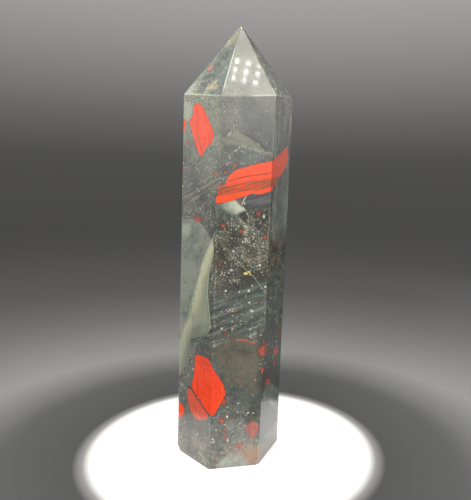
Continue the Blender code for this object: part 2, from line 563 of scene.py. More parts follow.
# thin lines: face, run and points as in the markings, then half width in mm
threads = {
    "dark in upper red": [
        ("frontLeft", "upright", [(142.6, 1.1), (144.8, -0.2), (147.6, -1.7), (150.3, -2.4)], 0.14),
        ("frontLeft", "upright", [(150.3, -2.4), (152.2, -3.1), (154.4, -4), (157, -4.3)], 0.0),
    ],
    "dark": [
        ("frontLeft", "level", [(-5.5, 34.4), (-0.5, 31.4), (6, 27.8), (10.6, 25.3)], 0.22),
        ("front", "level", [(-6.2, 130.1), (0, 131.9), (12.6, 134.1)], 0.1),
        ("front", "level", [(0.5, 150.2), (5.9, 147.8), (10.7, 142.9)], 0.22),
        ("frontEdge", "level", [(-11.4, 47.8), (-7.5, 48.3)], 0.0),
        ("frontEdge", "level", [(-7, 48.6), (-4.9, 48.7), (-2, 48)], 0.03),
    ],
    "gold": [
        ("front", "level", [(-1.9, 95.8), (2.5, 91.1), (5.3, 89)], 0.08),
    ],
    "faint": [
        ("front", "level", [(5.3, 89), (7.7, 85.6), (10.7, 82.2)], 0.14),
        ("front", "level", [(5.2, 91), (7.9, 92), (11.5, 93.3)], 0.05),
        ("front", "level", [(-4.8, 87.9), (-1.8, 89), (1.2, 89.9)], -0.02),
        ("front", "level", [(-9.2, 106.5), (-4.5, 101), (-1.9, 96.2)], 0.0),
        ("frontLeft", "upright", [(105, 10), (108.5, 12)], 0.1),
        ("back", "level", [(-11, 60), (-3, 65), (6, 68), (12, 69)], 0.12),
        ("backRight", "upright", [(100, -8), (116, -3.5), (134, 1.5), (152, 7)], 0.1),
        ("backLeft", "level", [(-11, 97), (-3, 92.5), (5, 90.5), (11, 91.5)], 0.12),
    ],
    "cream": [
        ("frontLeft", "level", [(3.5, 5.4), (6.4, 4.2), (8.8, 1.6)], 0.1),
        ("front", "level", [(-6.7, 149.0), (-5.0, 150.6)], 0.3),
        ("front", "upright", [(120.2, 0.1), (121.8, 0.3), (122.7, 0.8), (123.6, 1.5)], 0.25),
    ],
    "blue": [
        ("front", "level", [(-9.8, 27), (-8.1, 27.4), (-6.3, 27.7)], 0.3),
        ("front", "level", [(-12.4, 24.4), (-11, 24.8), (-10, 24.8)], 0.35),
        ("front", "level", [(-4.3, 16.3), (-3, 17.2), (-2.2, 17.8)], 0.3),
    ],
    "red": [("front", "level", [(-2, 60.3), (2.5, 59.7), (7.1, 57.8)], 0.14)],
}

# crumbly pale trails, drawn as wide threads and broken up by the grain
trails = {
    "cream": [
        ("front", "upright", [(103.5, 2.1), (108, 1.6), (110.1, 1.8), (112, 0.6), (113.6, -1.3),
                              (114.8, -3.2)], 0.8),
        ("front", "upright", [(101, 11.5), (104, 11.4), (113, 12.3), (117.5, 12.1)], 0.1),
        ("front", "level", [(-5.6, 87), (-4.5, 86.2), (-2.8, 87.2), (-1.4, 86.6)], 0.5),
        ("front", "level", [(-0.2, 117.3), (1.2, 117.8), (1.9, 117), (2.4, 115.8), (3.1, 114.3)], 0.2),
        ("front", "level", [(-0.6, 144.8), (6.4, 143.4), (12.9, 142.4)], 0.0),
        ("front", "level", [(4.2, 61.2), (7.2, 62.6)], 0.9),
        ("front", "level", [(-4.2, 64.5), (-3.0, 66.5)], 0.8),
        ("back", "level", [(-10, 119), (-3, 114.5), (4, 113.5), (10, 116.5)], 0.6),
        ("backRight", "level", [(-10, 61), (-4, 57.5), (3, 58.5)], 0.7),
        ("backLeft", "upright", [(107, 2), (114, 4.5), (122, 3)], 0.6),
    ],
    "tan": [
        ("front", "level", [(1, 95.4), (5.1, 96.1), (7.8, 97), (11.5, 97.5)], 0.6),
        ("right", "level", [(-11, 90), (-7, 94), (-3, 93)], 1.4),
        ("right", "level", [(-5.5, 95.9), (0.5, 96), (5, 94)], 1.3),
        ("frontLeft", "level", [(6, 156.5), (10.5, 151)], 0.35),
    ],
}

# rows of pale beads, and single ones
beadRows = [
    ("front", "level", [(-6.3, 73.3), (-2.8, 74.2), (1.3, 75.4)], 0.5),
    ("front", "level", [(2.8, 73), (5.7, 73.5)], 0.4),
    ("front", "level", [(1.4, 67.2), (4.4, 68.4)], 0.4),
    ("front", "upright", [(68, 11.1), (76, 10.8), (84, 10.9)], 0.1),
]
beads = {
    "front": [
        (3.5, 82.3, 0.5, 0.55), (3.6, 76.9, 0.4, 0.4), (-6.9, 82.4, 0.4, 0.4), (-4.5, 91.6, 0.4, 0.4),
        (-3.7, 99.8, 0.45, 0.4), (8.2, 93.7, 0.45, 0.5), (10.8, 83.9, 0.45, 0.45), (9.4, 115.2, 0.45, 0.8),
        (-12, 14.4, 0.3, 0.35), (-12.5, 12.9, 0.25, 0.2), (-11.4, 13.2, 0.25, 0.25), (-5.4, 13.2, 0.3, 0.5),
        (-5.7, 24.5, 0.35, 0.45), (6.5, 25.4, 0.22, 0.25), (-0.6, 30.5, 0.2, 0.28), (-4.1, 3.8, 0.5, 0.4),
    ],
}
yellowCrystals = {"front": [(2.0, 90.0, 0.9, 0.65), (3.5, 90.7, 0.6, 0.5), (4.0, 89.7, 0.35, 0.4)]}

# dark and tan blotches on the left of the point
darkBlotches = {
    "frontLeft": [
        (1.3, 184.6, 2.2, 1.5), (-0.5, 181.2, 2.6, 1.3), (-3.5, 171.8, 3.0, 1.3), (-3.8, 169.3, 2.6, 1.0),
        (-1.8, 176.2, 2.0, 1.2),
    ],
}
tanBlotches = {"frontLeft": [(3.4, 170.4, 2.2, 1.3), (5.9, 169.8, 1.8, 1.0), (4.2, 172.6, 1.0, 0.7)]}


class Faces:
    # across, height and reach of each face, in mm, and distances to what is drawn there

    def __init__(self, bench, place, exact, recipe, facets):
        self.bench = bench
        self.recipe = recipe
        self.belts = recipe["belts"]
        self.fades = recipe["fades"]
        self.across = {}
        self.inner = {}
        self.off = {}
        self.on = {}
        self.height = place.dot((0, 0, 1))
        skin = self.height.spread(*recipe["pointSpan"], recipe["skin"], 0)
        for name, azimuth in faceAzimuths.items():
            turn = math.radians(azimuth)
            self.across[name] = place.dot((-math.sin(turn), math.cos(turn), 0))
            self.inner[name] = skin - place.dot((math.cos(turn), math.sin(turn), 0))
        ways = {name: (azimuth, 0) for name, azimuth in faceAzimuths.items() if name != "frontEdge"}
        for name, way in (ways | pointWays).items():
            # how far below that facet, 0 on it
            normal, reach = max(facets, key=lambda facet: facet[0].dot(towards(*way)))
            self.off[name] = reach * recipe["perMetre"] - exact.dot(tuple(normal))
            self.on[name] = self.off[name].spread(*recipe["onFacet"])

    def rise(self, name, low=0.0, high=1.0):
        # low at the first of two heights, high at the second
        return self.height.spread(*self.fades[name], low, high)

    def belt(self, name, face=None, tilt=0.0, full=1.0):
        # full at a height, 0 well above and below it; on a face the belt may climb to the right
        middle, outer, inner = self.belts[name]
        height = self.height - self.across[face] * tilt if face else self.height
        return (height - middle).size().spread(outer, inner, 0, full)

    def chart(self, face, run, start, end, margin, least, most):
        # the place over a drawing as a share, and a function that bends points in mm into a curve
        along, over = self.across[face], self.height
        if run == "upright":
            along, over = over, along
        first = start - margin * (end - start)
        length = (end - start) * (1 + 2 * margin)
        position = along.timesPlus(1 / length, -first / length)
        share = over.timesPlus(1 / (most - least), -least / (most - least))

        def curve(points, outside):
            drawn = [(first, outside)] + points + [(first + length, outside)]
            places = [((t - first) / length, (v - least) / (most - least)) for t, v in drawn]
            return self.bench.node("FloatCurve", {"curve": places}, {"Value": position})

        return share, curve

    def marking(self, name):
        # distance in mm to a marking's outline, less than 0 inside it
        face, run, low, high = markings[name]
        alongs = [point[0] for point in low + high]
        overs = [point[1] for point in low + high]
        room, margin = self.recipe["drawingRoom"], self.recipe["drawingEnds"]
        least, most = min(overs) - room, max(overs) + room
        share, curve = self.chart(face, run, min(alongs), max(alongs), margin, least, most)
        below = curve(low, most) - share
        above = share - curve(high, least)
        return (below.most(above) * (most - least)).most(self.inner[face])

    def nearest(self, *names):
        found = None
        for name in names:
            one = self.marking(name)
            found = one if found is None else found.least(one)
        return found

    def spots(self, listed):
        found = None
        for face, places in listed.items():
            group = None
            flat = self.bench.node("CombineXYZ", {}, {0: self.across[face], 1: self.height, 2: 0.0})
            for across, height, halfWidth, halfHeight in places:
                scale = (1 / halfWidth, 1 / halfHeight, 0)
                away = flat.timesPlus(scale, (-across / halfWidth, -height / halfHeight, 0))
                less = min(halfWidth, halfHeight)
                one = away.length().timesPlus(less, -less)
                group = one if group is None else group.least(one)
            group = group.most(self.inner[face])
            found = group if found is None else found.least(group)
        return found

    def thread(self, listed):
        # past its ends the line runs off the stone
        fall, margin = self.recipe["threadFall"], self.recipe["threadEnds"]
        found = None
        for face, run, points, halfWidth in listed:
            least = min(point[1] for point in points) - fall
            most = max(point[1] for point in points) + fall
            share, curve = self.chart(face, run, points[0][0], points[-1][0], margin, least, most)
            one = (curve(points, most) - share).size().timesPlus(most - least, -halfWidth)
            if face == "frontEdge":
                one = one.most(self.inner[face])
            else:
                one = one.most(self.off[face] - self.recipe["threadDepth"])
            found = one if found is None else found.least(one)
        return found


# the jasper

jasper = {
    "perMetre": 1000,  # the markings are worked out in mm
    "skin": 13.0,  # mm out from the middle beyond which a face's markings show
    "pointSpan": (166, 200),  # over the point's height that distance shrinks to nothing
    "onFacet": (0.45, 0.25),  # mm below a facet where it ends, and where it is in full
    "drawingRoom": 3,  # mm left free above and below a marking's curves
    "drawingEnds": 0.015,  # and past its two ends, as a share of its length
    "threadEnds": 0.02,
    "threadFall": 300,  # mm, so far off the stone a thread goes past its ends
    "threadDepth": 0.4,
    "bend": 1.1,  # mm that outlines wander
    "fray": 0.6,
    # noises: how many waves to a mm, detail, roughness
    "noises": {
        "hues": (1.9, 2, 0.65),
        "wander": (0.22, 3, 0.6),
        "broad": (0.07, 6, 0.62),
        "grain": (0.6, 5, 0.7),
        "ripple": (0.12, 2, 0.5),
    },
    "pieceScale": 0.24,  # angular pieces in the ground
    # ways across the layers
    "ways": {
        "bedding": (-0.37, 0.145, 1.0),
        "slab": (-0.155, -0.476, 1.0),
        "crossing": (0.71, 0.16, 0.68),
        "level": (0, 0, 1),
    },
    # layered noises: the way across, how thick and how long the layers are in mm, detail, roughness
    "layers": {
        "rows": ("bedding", 1.5, 11, 2, 0.5),
        "bands": ("bedding", 2.4, 20, 4, 0.62),
        "striations": ("bedding", 0.4, 12, 2, 0.5),
        "crossing": ("crossing", 0.55, 9, 2, 0.5),
        "slab beds": ("slab", 0.42, 9, 3, 0.7),
        "upright": ("level", 11, 2.2, 4, 0.6),
    },
    "bedTilt": 0.3,  # mm that the beds climb for each mm across a face
    "slabTilt": 0.17,
    # belts round the stone: middle height, then how far from it they begin and are full, in mm
    "belts": {
        # the shade belt is where shade is painted round the lower half
        "shade": (46, 26, 12),
        "bands": (72, 12.5, 9.5),
        "crossed right": (78, 18, 12),
        "netted": (98, 20, 13),
        "busy": (102, 20, 12),
        "crossed": (103, 9, 5),
        "notch": (107.5, 4, 1),
        "striated": (124, 9, 4),
        "stain": (127.6, 3.0, 1.2),
        "streaks": (155, 45, 28),
        "dust": (162, 16, 8),
    },
    # heights in mm where something starts and where it is full
    "fades": {
        # heights of the painted floor reflection at the right face's foot
        "right foot pale": (14, 3),
        "warm foot": (17, 6),
        # heights where shade is painted on the right face
        "right shade foot": (6, 22),
        "right shade fuller": (40, 30),
        "right shade": (44, 34),
        "fewer specks": (46, 38),
        "right foot calm": (48, 34),
        "blade end": (49, 40),
        "blade edge": (60, 70),
        "blade foot": (70, 56),
        "blade shade": (72, 64),
        "blade side": (104, 84),
        "deeper red": (80, 60),
        "pinker reds": (60, 95),
        "right edge": (138, 146),
        "calm front": (146, 154),
        "edges": (134, 142),
        "edges at the point": (150, 160),
        "paler front left": (146, 170),
        "ripple": (164, 168),
        "shoulder": (163.8, 165),
        "shoulder top": (171, 169),
        "left corner": (176, 172),
        "ridge": (166, 170),
        "ridge top": (196, 182),
        "apex": (186, 195),
    },
    "ground": [
        (0.22, paint(44, 46, 45)),
        (0.40, paint(68, 71, 68)),
        (0.52, paint(88, 90, 85)),
        (0.66, paint(110, 112, 105)),
        (0.84, paint(146, 147, 136)),
    ],
    "brown": paint(106, 94, 78),
    "green": paint(78, 92, 82),
    "violet": paint(92, 88, 90),
    "tint": paint(194, 194, 194),
    "bands": [
        (0.30, paint(46, 48, 45)),
        (0.45, paint(68, 71, 67)),
        (0.56, paint(88, 94, 87)),
        (0.66, paint(116, 124, 114)),
        (0.75, paint(146, 150, 136)),
    ],
    "hairline": paint(158, 155, 134),
    "teal": paint(76, 92, 86),
    "netted": paint(59, 58, 53),
    "calm": (paint(98, 104, 97), paint(136, 140, 129)),
    "calmDot": paint(52, 54, 50),
    "wisp": paint(158, 162, 146),
    "brownPatch": (paint(68, 66, 57), paint(98, 95, 81)),
    "olive": (paint(94, 95, 79), paint(122, 124, 104)),
    "slate": (paint(74, 74, 74), paint(98, 97, 94)),
    "rightGrey": (paint(100, 106, 98), paint(158, 168, 156)),
    "streaks": [(0.36, paint(52, 53, 48)), (0.5, paint(92, 94, 86)), (0.64, paint(146, 152, 138))],
    "point": [
        (0.28, paint(38, 42, 36)),
        (0.42, paint(64, 72, 62)),
        (0.54, paint(92, 98, 80)),
        (0.74, paint(136, 134, 104)),
    ],
    "apex": paint(108, 112, 82),
    "upperLeft": (paint(122, 128, 110), paint(158, 160, 138)),
    "palePatch": paint(158, 164, 144),
    "blotch": paint(26, 32, 30),
    "tanBlotch": paint(180, 158, 106),
    "leftCorner": paint(116, 124, 118),
    # grey of the painted sheen over the top of the front and the point's front facet
    "veil": (paint(88, 88, 82), paint(108, 107, 97)),
    # painted shade, laid on the right of the front, on the right face and on the right of the point's right
    # facet
    "shade": paint(50, 54, 48),
    # fine and coarse specks: cells to a mm, radius and how much it varies, outline from outside to
    # inside, all three in cells, and how much they cover
    "fineSpecks": (1.05, (0.14, 0.3), (-0.04, 0.06), 0.9),
    "coarseSpecks": (0.45, (0.10, 0.16), (-0.02, 0.04), 0.85),
    "speckUnevenness": 1.6,  # mm that the cells are bent
    "specks": [
        (0.00, paint(224, 222, 208)),
        (0.26, paint(196, 192, 160)),
        (0.45, paint(150, 170, 152)),
        (0.58, paint(172, 146, 108)),
        (0.72, paint(192, 116, 98)),
        (0.80, paint(124, 130, 122)),
        (1.00, paint(206, 206, 192)),
    ],
    "dust": paint(190, 186, 166),
    "bead": paint(206, 208, 192),
    "crystal": paint(208, 196, 132),
    "crystalBed": paint(56, 48, 38),
    "byRim": paint(62, 57, 46),
    "trails": {"cream": paint(196, 193, 166), "tan": paint(158, 138, 106)},
    "blade": (paint(120, 124, 103), paint(180, 182, 150)),
    "bladeLine": (0.4, 34.9),  # its left outline: mm across for each mm up, less where it starts
    "bladeLight": paint(204, 202, 176),
    "bladeFoot": paint(114, 120, 106),
    "bladeShade": paint(80, 86, 78),
    "bladeDirt": paint(72, 76, 66),
    "fan": (paint(100, 108, 100), paint(188, 191, 170)),
    "fanEdge": (paint(76, 82, 78), paint(116, 124, 114)),
    "tanFoot": paint(138, 108, 90),
    # pale of the painted floor reflection at the right face's foot
    "rightFoot": paint(172, 166, 156),
    "greenFoot": (paint(116, 119, 111), paint(141, 144, 135)),
    "celadonFoot": paint(132, 142, 126),
    "warmFoot": (paint(108, 100, 86), paint(142, 132, 112)),
    "red": (paint(222, 56, 26), paint(242, 82, 38)),
    "redFleck": paint(200, 52, 28),
    "deepRed": paint(176, 36, 18),
    "slabRed": (paint(238, 70, 34), paint(250, 88, 42)),
    "striae": paint(138, 44, 28),
    "stain": paint(96, 74, 46),
    "fadedRed": (paint(134, 60, 46), paint(178, 84, 66)),
    "dullRed": (paint(180, 66, 46), paint(206, 84, 60)),
    "redCore": paint(138, 72, 46),
    "smallRed": (paint(206, 66, 40), paint(160, 76, 58)),
    "pinkRed": paint(172, 96, 84),
    "rim": paint(60, 50, 44),
    # each kind of thread: its colour and how much it covers
    "threads": {
        "dark in upper red": (paint(70, 62, 44), 0.9),
        "dark": (paint(50, 50, 46), 0.85),
        "gold": (paint(186, 178, 122), 0.8),
        "faint": (paint(158, 166, 146), 0.6),
        "cream": (paint(190, 184, 158), 0.8),
        "blue": (paint(112, 122, 122), 0.65),
        "red": (paint(206, 78, 48), 0.8),
    },
    # pale edge colour: wear on the column, and a painted highlight on the shoulder, the ridge and the upper
    # right edge
    "worn": paint(180, 180, 168),
    "rightEdge": (0.0285, 8.9),  # the edge right of the front: mm across for each mm up, and its start
    "broken": paint(120, 126, 116),
    "roughness": (0.06, 0.12),
    "extraPolish": 0.05,
    "brokenRoughness": 0.5,
    "ripple": {"Strength": 0.05, "Distance": 0.0005},
    "ior": 1.54,
}


class Rock:
    # the stone's colour, laid on one layer after the other

    def __init__(self, bench, recipe, facets):
        self.bench = bench
        self.recipe = recipe
        # The order of these matters: Cycles keeps each value in a small stack until its last use, and it
        # works out early whatever needs no texture of a bent place.
        places = bench.node("TexCoord", {}, {}, "Object")
        perMetre = recipe["perMetre"]
        self.hues = self.noise("hues", places, "Color", perMetre)
        self.dust = bench.parts(self.hues)
        wander = bench.parts(self.noise("wander", places, "Color", perMetre))
        self.mm = places * perMetre
        self.bent = bench.shifts(wander).timesPlus((recipe["bend"],) * 3, self.mm)
        self.broad = self.noise("broad", self.bent)
        self.grain = bench.parts(self.noise("grain", self.mm, "Color"))
        frayed = bench.shifts(self.grain).timesPlus((recipe["fray"],) * 3, self.bent)
        self.faces = Faces(bench, frayed, self.mm, recipe, facets)
        self.pieces = bench.parts(bench.cells(self.bent, recipe["pieceScale"], "Color"))
        self.rows = self.layers("rows", self.mm)
        self.colour = None

    def noise(self, name, place, output="Fac", unit=1):
        scale, detail, roughness = self.recipe["noises"][name]
        return self.bench.noise(place, scale * unit, detail, roughness, output)

    def layers(self, name, place):
        # a noise that is thin across its layers and long along them
        way, thickness, run, detail, roughness = self.recipe["layers"][name]
        way = tuple(Vector(self.recipe["ways"][way]).normalized())
        apart = self.bench.node("SeparateXYZ", {}, {0: place})
        along, beside = apart * (1 / run), apart.other("Y") * (1 / run)
        through = place.dot(way) * (1 / thickness)
        drawnOut = self.bench.node("CombineXYZ", {}, {0: along, 1: beside, 2: through})
        return self.bench.noise(drawnOut, 1.0, detail, roughness)

    def two(self, name, mix):
        # the recipe's two colours of that name, blended
        return self.bench.blend(mix, *self.recipe[name])

    def over(self, under, share, colour):
        return self.bench.blend(share, under, self.recipe[colour] if isinstance(colour, str) else colour)

    def lay(self, share, colour, mix=None):
        # colour is a wire or a name in the recipe, where it is one colour, or two for mix to blend
        if mix is not None:
            colour = self.two(colour, mix)
        self.colour = self.over(self.colour, share, colour)

    def ground(self):
        tone = self.broad * 0.85 + self.grain * 0.6 + self.pieces * 0.13 + self.dust * 0.35 - 0.48
        self.colour = self.bench.ramp(self.recipe["ground"], tone)
        brown = self.pieces.other(1) * 0.5 + self.grain.other(1)
        self.lay(brown.spread(0.72, 1.05, 0, 0.6), "brown")
        green = self.pieces.other(2) * 0.4 + self.grain.other(2) * 0.5 + self.broad * 0.5
        self.lay(green.spread(0.62, 0.92) * 0.45, "green")
        self.lay(self.grain.other(2).spread(0.5, 0.66, 0, 0.55), "violet")

    def upperFaces(self):
        faces = self.faces
        # upright streaks on the right
        self.upright = self.layers("upright", self.bent)
        streaks = self.bench.ramp(self.recipe["streaks"], self.upright)
        onRight = faces.on["right"].most(faces.on["pointRight"])
        self.lay(onRight * faces.belt("streaks", full=0.65), streaks)
        # the pale mottled left side of the point
        onLeft = faces.on["pointLeft"]
        fromMiddle = faces.across["frontLeft"]
        tone = self.broad * 1.3 + self.grain * 0.7 + self.dust * 0.2 - 0.6
        mottled = self.bench.ramp(self.recipe["point"], tone)
        self.lay(onLeft * 0.9, mottled)
        self.lay(onLeft * faces.rise("apex", 0, 0.6), "apex")
        blotches = faces.spots(darkBlotches) + self.grain.other(1).timesPlus(6.0, -3.0)
        self.lay(blotches.spread(0.9, -0.7, 0, 0.75), "blotch")
        corner = fromMiddle.spread(-6, -10) * faces.rise("left corner")
        self.lay(corner * onLeft * 0.7, "leftCorner")
        self.lay(onLeft * fromMiddle.spread(1, 8, 0, 0.4), "teal")
        # painted shade on the right of the point's right facet
        turned = faces.across["right"].spread(-6, 4, 0, 0.7)
        self.lay(faces.on["pointRight"] * turned, "shade")
        # paler at the top of the front left side
        above = (faces.height + self.broad * 30).spread(*faces.fades["paler front left"], 0, 0.62)
        above = above * (faces.on["frontLeft"] + faces.on["backRight"] * 0.7)
        self.lay(above, "upperLeft", self.grain.spread(0.4, 0.65))
        # the front is calmer above the olive wedge: a painted grey sheen lies over it and over the point's
        # front facet
        veil = faces.on["front"] * faces.rise("calm front") + faces.on["pointFront"]
        self.lay(veil * 0.6, "veil", self.broad.spread(0.4, 0.62))
        self.plain = 1 - veil * 0.75

    def darker(self):
        # the netted middle of the front, and painted shade on the sides of its lower half and on the right
        # face
        faces = self.faces
        netted = faces.belt("netted", "front", self.recipe["bedTilt"])
        netted = netted * faces.on["front"].most(faces.on["back"])
        self.clusters = self.grain.other(1).timesPlus(0.4, self.broad).spread(0.62, 0.8)
        self.lay(netted * (0.85 - self.clusters * 0.5), "netted")
        # painted shade: the right of the front and the right face darker, in a belt round the lower half
        # and low on the right face
        below = faces.belt("shade")
        sides = faces.on["front"] * faces.across["front"].spread(3, 11, 0, 0.7)
        sides = sides + faces.on["right"] * faces.rise("right shade fuller", 0.4, 0.8)
        below = below.most(faces.on["right"] * faces.rise("right shade") * faces.rise("right shade foot"))
        self.lay(below * sides, "shade")

    def bands(self):
        faces = self.faces
        banded = self.bench.ramp(self.recipe["bands"], self.layers("bands", self.bent))
        inBands = faces.belt("bands", "front", self.recipe["bedTilt"])
        self.lay(inBands * (0.9 - faces.on["right"] * 0.5), banded)
        self.lay(inBands * faces.across["front"].spread(-4, 9, 0, 0.35), "teal")
        fine = self.rows.spread(0.60, 0.70) * inBands
        self.lay(fine * 0.35, "hairline")

    def striations(self):
        faces = self.faces
        lines = self.layers("striations", self.mm)
        inLines = faces.belt("striated", "frontLeft", self.recipe["bedTilt"])
        inLines = inLines.least(faces.inner["frontLeft"].spread(-1, -3))
        self.lay(lines.spread(0.55, 0.64) * inLines * 0.5, "hairline")
        lines = self.layers("crossing", self.mm)
        inLines = faces.belt("crossed") * faces.across["front"].spread(4, 0) * faces.on["front"]
        inLines = inLines + faces.on["right"] * faces.belt("crossed right")
        self.lay(lines.spread(0.56, 0.66) * inLines * 0.35, "hairline")

    def quiet(self):
        # areas with no specks
        faces = self.faces
        smoky = self.grain.timesPlus(0.35, self.broad).spread(0.5, 0.8)
        calm = faces.nearest("calm grey green", "back calm")
        wisps = (self.broad * 1.4 + self.grain * 0.4 + self.rows * 0.25).spread(0.8, 1.15)
        self.lay(calm.spread(0.6, -0.8), "calm", wisps)
        notch = (faces.across["frontLeft"] + 11).size().spread(6, 1) * faces.belt("notch")
        self.lay(notch * calm.spread(0, -1, 0, 0.85), "wisp")
        dots = self.dust.other(1).spread(0.63, 0.67) * self.grain.spread(0.5, 0.56)
        self.lay(dots * calm.spread(-0.5, -1.5) * 0.8, "calmDot")
        brown = faces.nearest("brown patch", "back left calm")
        self.lay(brown.spread(1.4, -1.8), "brownPatch", smoky)
        olive = faces.nearest("olive above slab")
        self.lay(olive.spread(0.5, -0.9, 0, 0.8), "olive", smoky)
        patch = faces.nearest("pale upper left")
        self.lay(patch.spread(0.8, -0.8, 0, 0.8), "palePatch")
        slate = faces.nearest("slate")
        self.lay(slate.spread(0.6, -0.9), "slate", self.rows.spread(0.4, 0.62))
        rightGrey = faces.nearest("right grey")
        wisps = self.grain * 0.4 + self.broad
        self.lay(rightGrey.spread(1.5, -2.5, 0, 0.85), "rightGrey", wisps.spread(0.5, 0.95))
        lowGrey = faces.nearest("right low grey")
        self.lay(lowGrey.spread(3.0, -1.5, 0, 0.65), "rightGrey", wisps.spread(0.5, 0.95))
        busy = calm.least(brown).least(slate).least(olive.timesPlus(1.0, 0.3)).least(rightGrey).least(patch)
        foot = 1 - faces.on["right"] * faces.rise("right foot calm", 0, 0.85) - faces.on["pointLeft"] * 0.5
        self.busy = busy.spread(-0.9, 1.0) * self.plain * foot

    def tint(self):
        # every grain has a slightly different hue
        hues = self.bench.blend(0.9, self.recipe["tint"], self.hues, "ADD")
        self.colour = self.bench.blend(1.0, self.colour, hues, "MULTIPLY")

    def speckle(self, name, place, often):
        # a round speck in each cell whose own number is below often
        scale, (radius, more), outline, share = self.recipe[name]
        cells = self.bench.cells(place, scale)
        own = self.bench.parts(cells.other("Color"))
        drops = (own.other(2).timesPlus(more, radius) - cells).spread(*outline)
        chosen = (often - own).spread(0.0, 0.02)
        colour = self.bench.ramp(self.recipe["specks"], own.other(1))
        self.lay(drops * chosen * self.busy * share, colour)

    def specks(self):
        faces = self.faces
        frontOrBack = faces.inner["front"].least(faces.inner["back"]).spread(-3, -6)
        middle = faces.belt("busy").least(frontOrBack)
        often = self.broad.spread(0.38, 0.64, 0.05, 0.34) + self.rows.spread(0.5, 0.62, 0, 0.18)
        often = (often + middle * (self.clusters * 0.46 - 0.06)) * faces.rise("fewer specks", 1.0, 0.45)
        often = often + faces.thread(beadRows).spread(0.8, 0.3)
        uneven = self.bench.shifts(self.dust).timesPlus((self.recipe["speckUnevenness"],) * 3, self.mm)
        self.speckle("fineSpecks", uneven, often)
        self.speckle("coarseSpecks", uneven, often.timesPlus(0.5, -0.03))
        # the finest dust, most of it in the middle of the front and over its top
        veil = faces.belt("dust") * faces.across["front"].spread(8, -6)
        dusty = middle * self.clusters * 0.6 + often * 0.5 + veil * 0.5
        self.lay(self.dust.other(2).spread(0.59, 0.66) * dusty * self.busy.most(veil), "dust")
        self.lay(faces.spots(beads).spread(0.25, -0.2, 0, 0.95), "bead")

    def trails(self):
        faces = self.faces
        self.lay(faces.spots(yellowCrystals).spread(1.4, 0.1, 0, 0.75), "crystalBed")
        self.lay(faces.nearest("dark by rim").spread(0.6, -0.8, 0, 0.6), "byRim")
        crumbs = (self.dust.other(1) + self.grain.other(1) * 0.6).spread(0.76, 0.88)
        for name, colour in self.recipe["trails"].items():
            self.lay(faces.thread(trails[name]).spread(0.9, -0.7) * crumbs * 0.9, colour)
        tan = faces.spots(tanBlotches) + self.grain.timesPlus(5.0, -2.5)
        self.lay(tan.spread(0.7, -0.7) * crumbs.timesPlus(0.75, 0.2), "tanBlotch")
        self.lay(faces.spots(yellowCrystals).spread(0.2, -0.2), "crystal")

    def bladeColour(self, blade):
        faces = self.faces
        creamy = self.broad * 1.2 + self.grain * 0.5 + blade.spread(-0.2, -2.0, 0, 0.25)
        colour = self.two("blade", creamy.spread(0.8, 1.15))
        colour = self.over(colour, self.upright.spread(0.4, 0.62, 0, 0.45), "bladeLight")
        # darker away from its left outline, lower down
        slope, start = self.recipe["bladeLine"]
        inwards = faces.across["frontLeft"] - faces.height * slope + start
        low = faces.rise("blade side") * inwards.spread(1, 9, 0.1, 0.75)
        colour = self.over(colour, low, "bladeFoot")
        colour = self.over(colour, faces.rise("blade foot", 0, 0.5), "bladeFoot")
        low = (faces.height + self.grain * 8).spread(*faces.fades["blade shade"]) * inwards.spread(2, 9)
        low = low.most(faces.rise("blade end", 0, 0.3))
        colour = self.over(colour, low * 0.5, "bladeShade")
        edge = (blade + 0.35).size().spread(0.35, 0.1) * faces.rise("blade edge", 0, 0.5)
        colour = self.over(colour, edge, "bladeLight")
        return self.over(colour, (self.dust.other(1) - 0.63).spread(0, 0.05) * 0.8, "bladeDirt")

    def pale(self):
        faces = self.faces
        blade = faces.nearest("celadon blade", "back blade")
        colour = self.bladeColour(blade)
        self.lay(blade.spread(0.3, -0.35), colour)
        grey = faces.nearest("grey under slab")
        self.lay(grey.spread(1.2, -2.0, 0, 0.8), "fanEdge", self.grain.spread(0.4, 0.65))
        fan = faces.nearest("pale under slab")
        rightwards = (faces.across["front"] + self.grain * 9 + faces.height * 0.8).spread(88, 100)
        self.lay(fan.spread(0.7, -1.3), "fan", rightwards)
        # warmer near the ground
        warm = faces.rise("warm foot") * (faces.on["front"] + faces.on["frontLeft"] * 0.6)
        warm = warm * (self.grain.other(1) + self.broad * 0.7).spread(0.72, 0.95, 0, 0.75)
        self.lay(warm, "warmFoot", self.grain.spread(0.4, 0.6))
        # painted reflection of the pale floor, paler towards the right face's foot
        self.lay(faces.on["right"] * faces.rise("right foot pale", 0, 0.3), "rightFoot")
        green = faces.nearest("green at foot")
        self.lay(green.spread(1.5, -1.5, 0, 0.75), "greenFoot", self.grain.spread(0.35, 0.65))
        foot = faces.nearest("celadon at foot")
        self.lay(foot.spread(0.8, -1.0) * self.grain.spread(0.4, 0.56) * 0.7, "celadonFoot")
        tan = faces.nearest("tan at foot")
        self.lay(tan.spread(3.0, -2.5) * self.grain.other(2).spread(0.3, 0.6), "tanFoot")

    def dullReds(self):
        faces = self.faces
        ragged = self.grain.other(1).timesPlus(2.6, -1.3)
        faded = faces.spots(fadedReds) + ragged
        faded = faded.timesPlus(0.7, 0.2).least(faces.nearest("faded red"))
        mottled = self.two("fadedRed", self.grain.other(2).spread(0.35, 0.65))
        self.lay(faded.spread(0.5, -0.6) * self.dust.other(2).spread(0.62, 0.5, 0.3, 0.85), mottled)
        dull = faces.nearest("lower dull red")
        self.lay(dull.spread(0.4, -0.3, 0, 0.9), "dullRed", self.grain.spread(0.62, 0.4))
        small = faces.spots(smallReds) + ragged
        self.lay(small.spread(0.7, 0.1, 0, 0.55), "rim")
        flecked = self.two("smallRed", self.grain.spread(0.4, 0.62))
        flecked = self.over(flecked, faces.rise("pinker reds", 0, 0.5), "pinkRed")
        flecked = self.over(flecked, small.spread(-0.7, -1.5, 0, 0.6), "redCore")
        self.lay(small.spread(0.3, -0.5, 0, 0.85), flecked)

